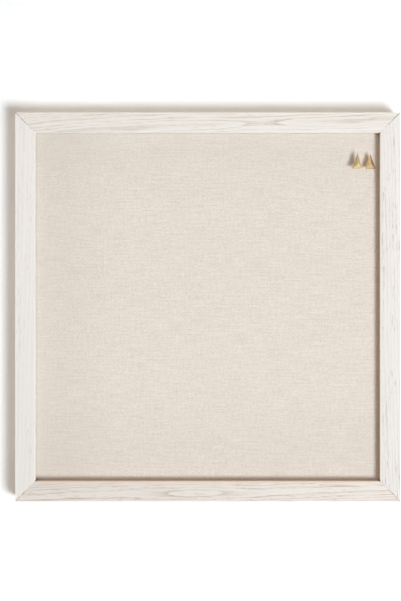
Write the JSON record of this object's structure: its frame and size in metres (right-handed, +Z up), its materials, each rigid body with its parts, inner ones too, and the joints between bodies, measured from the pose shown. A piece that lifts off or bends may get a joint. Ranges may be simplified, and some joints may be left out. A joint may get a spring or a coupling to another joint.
{
  "type": "linen bulletin board",
  "caption": "Near-square linen bulletin board: mitred whitewashed oak moulding round a linen-covered cork panel, with brass pyramid push pins and D-ring hangers behind.",
  "frame": {"origin": "on the wall plane, behind the middle of the board", "axes": "+Z up, +X to the right as seen from the front, +Y from the front of the board towards the wall"},
  "size_m": [0.457, 0.0305, 0.4614],
  "materials": {
    "whitewashed_oak": "matte",
    "linen": "matte",
    "cork": "matte",
    "hardboard": "satin",
    "zinc_steel": "satin",
    "brass": "satin",
    "rubber": "matte"
  },
  "bodies": {
    "board": {"frame_top_rail": "whitewashed_oak", "frame_right_stile": "whitewashed_oak", "frame_bottom_rail": "whitewashed_oak", "frame_left_stile": "whitewashed_oak", "v_nail_top_right_outer": "zinc_steel", "v_nail_top_right_inner": "zinc_steel", "v_nail_bottom_right_outer": "zinc_steel", "v_nail_bottom_right_inner": "zinc_steel", "v_nail_bottom_left_outer": "zinc_steel", "v_nail_bottom_left_inner": "zinc_steel", "v_nail_top_left_outer": "zinc_steel", "v_nail_top_left_inner": "zinc_steel", "framers_point_top_1": "zinc_steel", "framers_point_top_2": "zinc_steel", "framers_point_right_1": "zinc_steel", "framers_point_right_2": "zinc_steel", "framers_point_bottom_1": "zinc_steel", "framers_point_bottom_2": "zinc_steel", "framers_point_left_1": "zinc_steel", "framers_point_left_2": "zinc_steel", "linen_cover": "linen", "cork_sheet": "cork", "hardboard_back": "hardboard", "hem_staple_top_1": "zinc_steel", "hem_staple_top_2": "zinc_steel", "hem_staple_top_3": "zinc_steel", "hem_staple_top_4": "zinc_steel", "hem_staple_right_1": "zinc_steel", "hem_staple_right_2": "zinc_steel", "hem_staple_right_3": "zinc_steel", "hem_staple_right_4": "zinc_steel", "hem_staple_bottom_1": "zinc_steel", "hem_staple_bottom_2": "zinc_steel", "hem_staple_bottom_3": "zinc_steel", "hem_staple_bottom_4": "zinc_steel", "hem_staple_left_1": "zinc_steel", "hem_staple_left_2": "zinc_steel", "hem_staple_left_3": "zinc_steel", "hem_staple_left_4": "zinc_steel", "hanger_strap_left": "zinc_steel", "hanger_screw_left": "zinc_steel", "hanger_strap_right": "zinc_steel", "hanger_screw_right": "zinc_steel", "bumper_left": "rubber", "bumper_right": "rubber"},
    "pin_left": {"pin_head_left": "brass", "pin_needle_left": "zinc_steel"},
    "pin_right": {"pin_head_right": "brass", "pin_needle_right": "zinc_steel"},
    "ring_left": {"hanger_ring_left": "zinc_steel"},
    "ring_right": {"hanger_ring_right": "zinc_steel"}
  },
  "joints": [
    {"name": "pin_left_pull", "type": "slide", "parent": "board", "child": "pin_left", "axis": [0, -1, 0], "range_m": [0, 0.02]},
    {"name": "pin_right_pull", "type": "slide", "parent": "board", "child": "pin_right", "axis": [0, -1, 0], "range_m": [0, 0.02]},
    {"name": "ring_left_swing", "type": "hinge", "parent": "board", "child": "ring_left", "pos_m": [-0.22, -0.00185, 0.15075], "axis": [1, 0, 0], "range_deg": [0, 180]},
    {"name": "ring_right_swing", "type": "hinge", "parent": "board", "child": "ring_right", "pos_m": [0.22, -0.00185, 0.15075], "axis": [1, 0, 0], "range_deg": [0, 180]}
  ]
}
